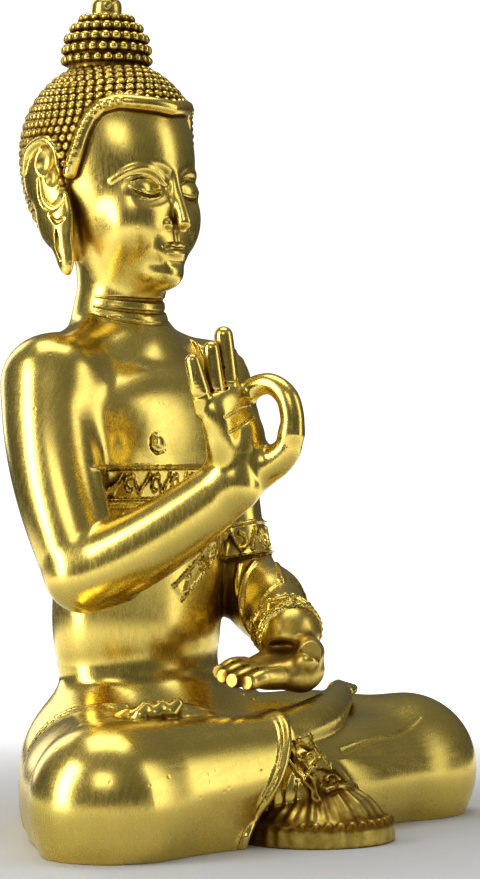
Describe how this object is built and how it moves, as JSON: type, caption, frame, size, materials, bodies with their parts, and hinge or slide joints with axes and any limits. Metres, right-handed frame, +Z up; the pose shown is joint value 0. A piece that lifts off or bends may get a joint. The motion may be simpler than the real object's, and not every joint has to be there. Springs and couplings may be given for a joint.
{
  "type": "seated buddha statue",
  "caption": "Seated cross-legged cast brass figure with a raised teaching hand, a hand resting in the lap and a robe hem spread in front, for a shelf or altar.",
  "frame": {"origin": "on the flat underside that it rests on, in the middle of the knees' span, 13 mm in front of the middle of the seat", "axes": "+Z up along the figure's height, -Y to the front, -X to the figure's right"},
  "size_m": [0.14, 0.1085, 0.2016],
  "materials": {
    "polished_brass": "hand-polished cast brass, brown in its recesses",
    "antiqued_brass": "chased cast brass left dark between the relief",
    "plain_brass": "drawn brass rod"
  },
  "bodies": {
    "root": {"lap": "polished_brass", "trunk": "polished_brass", "head": "antiqued_brass", "topknot": "antiqued_brass", "finial": "antiqued_brass", "right_arm": "polished_brass", "left_arm": "polished_brass", "right_hand": "polished_brass", "left_hand": "antiqued_brass", "right_foot": "polished_brass", "left_foot": "polished_brass", "hem_fan": "antiqued_brass", "fan_pin": "plain_brass", "right_shoulder_pin": "plain_brass", "left_shoulder_pin": "plain_brass", "right_wrist_pin": "plain_brass", "left_wrist_pin": "plain_brass"}
  },
  "joints": []
}
